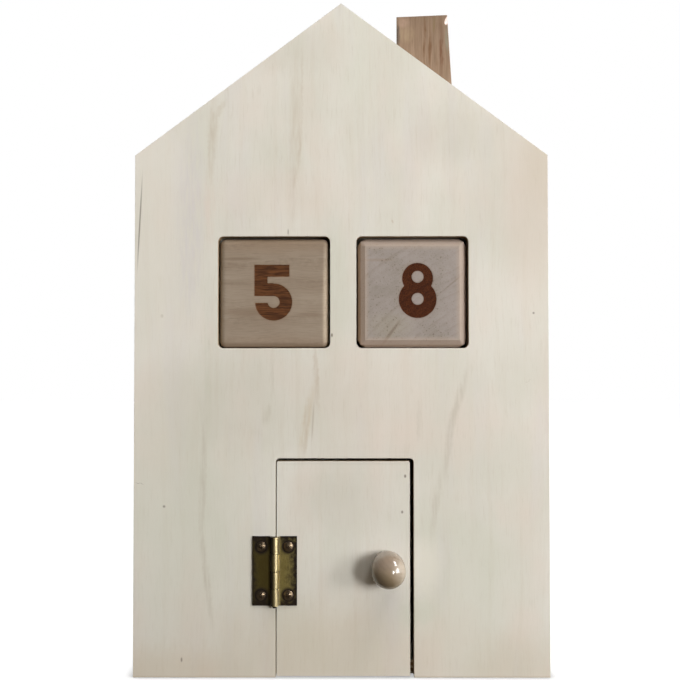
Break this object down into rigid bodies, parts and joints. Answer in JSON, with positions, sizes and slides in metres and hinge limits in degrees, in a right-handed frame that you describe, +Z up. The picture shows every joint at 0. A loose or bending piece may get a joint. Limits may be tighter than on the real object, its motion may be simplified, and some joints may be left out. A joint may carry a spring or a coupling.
{
  "type": "wooden advent calendar",
  "caption": "House-shaped plywood calendar box with number cubes sliding into two windows, a brass-hinged door with a knob, and a chimney block on the roof.",
  "frame": {"origin": "middle of the underside of the house, on the surface that it stands on", "axes": "+X to the right as seen from the front, the front with the door faces -Y, +Z up"},
  "size_m": [0.15, 0.0609, 0.2445],
  "materials": {
    "plywood": "pale plywood, sanded and unfinished",
    "inner_plywood": "pale plywood, sanded and unfinished, with its layers showing at the edges",
    "cube_wood": "solid light hardwood, sanded, with burnt figures",
    "chimney_wood": "solid wood, planed",
    "dowel_wood": "plain beech",
    "knob_wood": "turned and lacquered, glossy",
    "antique_brass": "antiqued, dark brown with rubbed olive centres",
    "screw_steel": "zinc plated"
  },
  "bodies": {
    "house": {"front_panel": "plywood", "back_panel": "plywood", "left_wall": "plywood", "right_wall": "plywood", "base_board": "plywood", "roof_left": "plywood", "roof_right": "plywood", "chimney": "chimney_wood", "chimney_dowel": "dowel_wood", "cube_shelf": "inner_plywood", "pocket_top": "inner_plywood", "pocket_divider": "inner_plywood", "pocket_guide_left": "inner_plywood", "pocket_guide_right": "inner_plywood", "hinge_leaf_frame": "antique_brass", "hinge_pin": "antique_brass", "hinge_screws_frame": "antique_brass"},
    "door": {"door": "plywood", "door_knob": "knob_wood", "knob_screw": "screw_steel", "hinge_leaf_door": "antique_brass", "hinge_screws_door": "antique_brass"},
    "cube_left": {"number_cube_left": "cube_wood"},
    "cube_right": {"number_cube_right": "cube_wood"}
  },
  "joints": [
    {"name": "door_hinge", "type": "hinge", "parent": "house", "child": "door", "pos_m": [-0.02397, -0.02445, 0.0382], "axis": [0, 0, -1], "range_deg": [0, 162]},
    {"name": "cube_left_slide", "type": "slide", "parent": "house", "child": "cube_left", "axis": [0, -1, 0], "range_m": [0, 0.045]},
    {"name": "cube_right_slide", "type": "slide", "parent": "house", "child": "cube_right", "axis": [0, -1, 0], "range_m": [0, 0.045]}
  ]
}
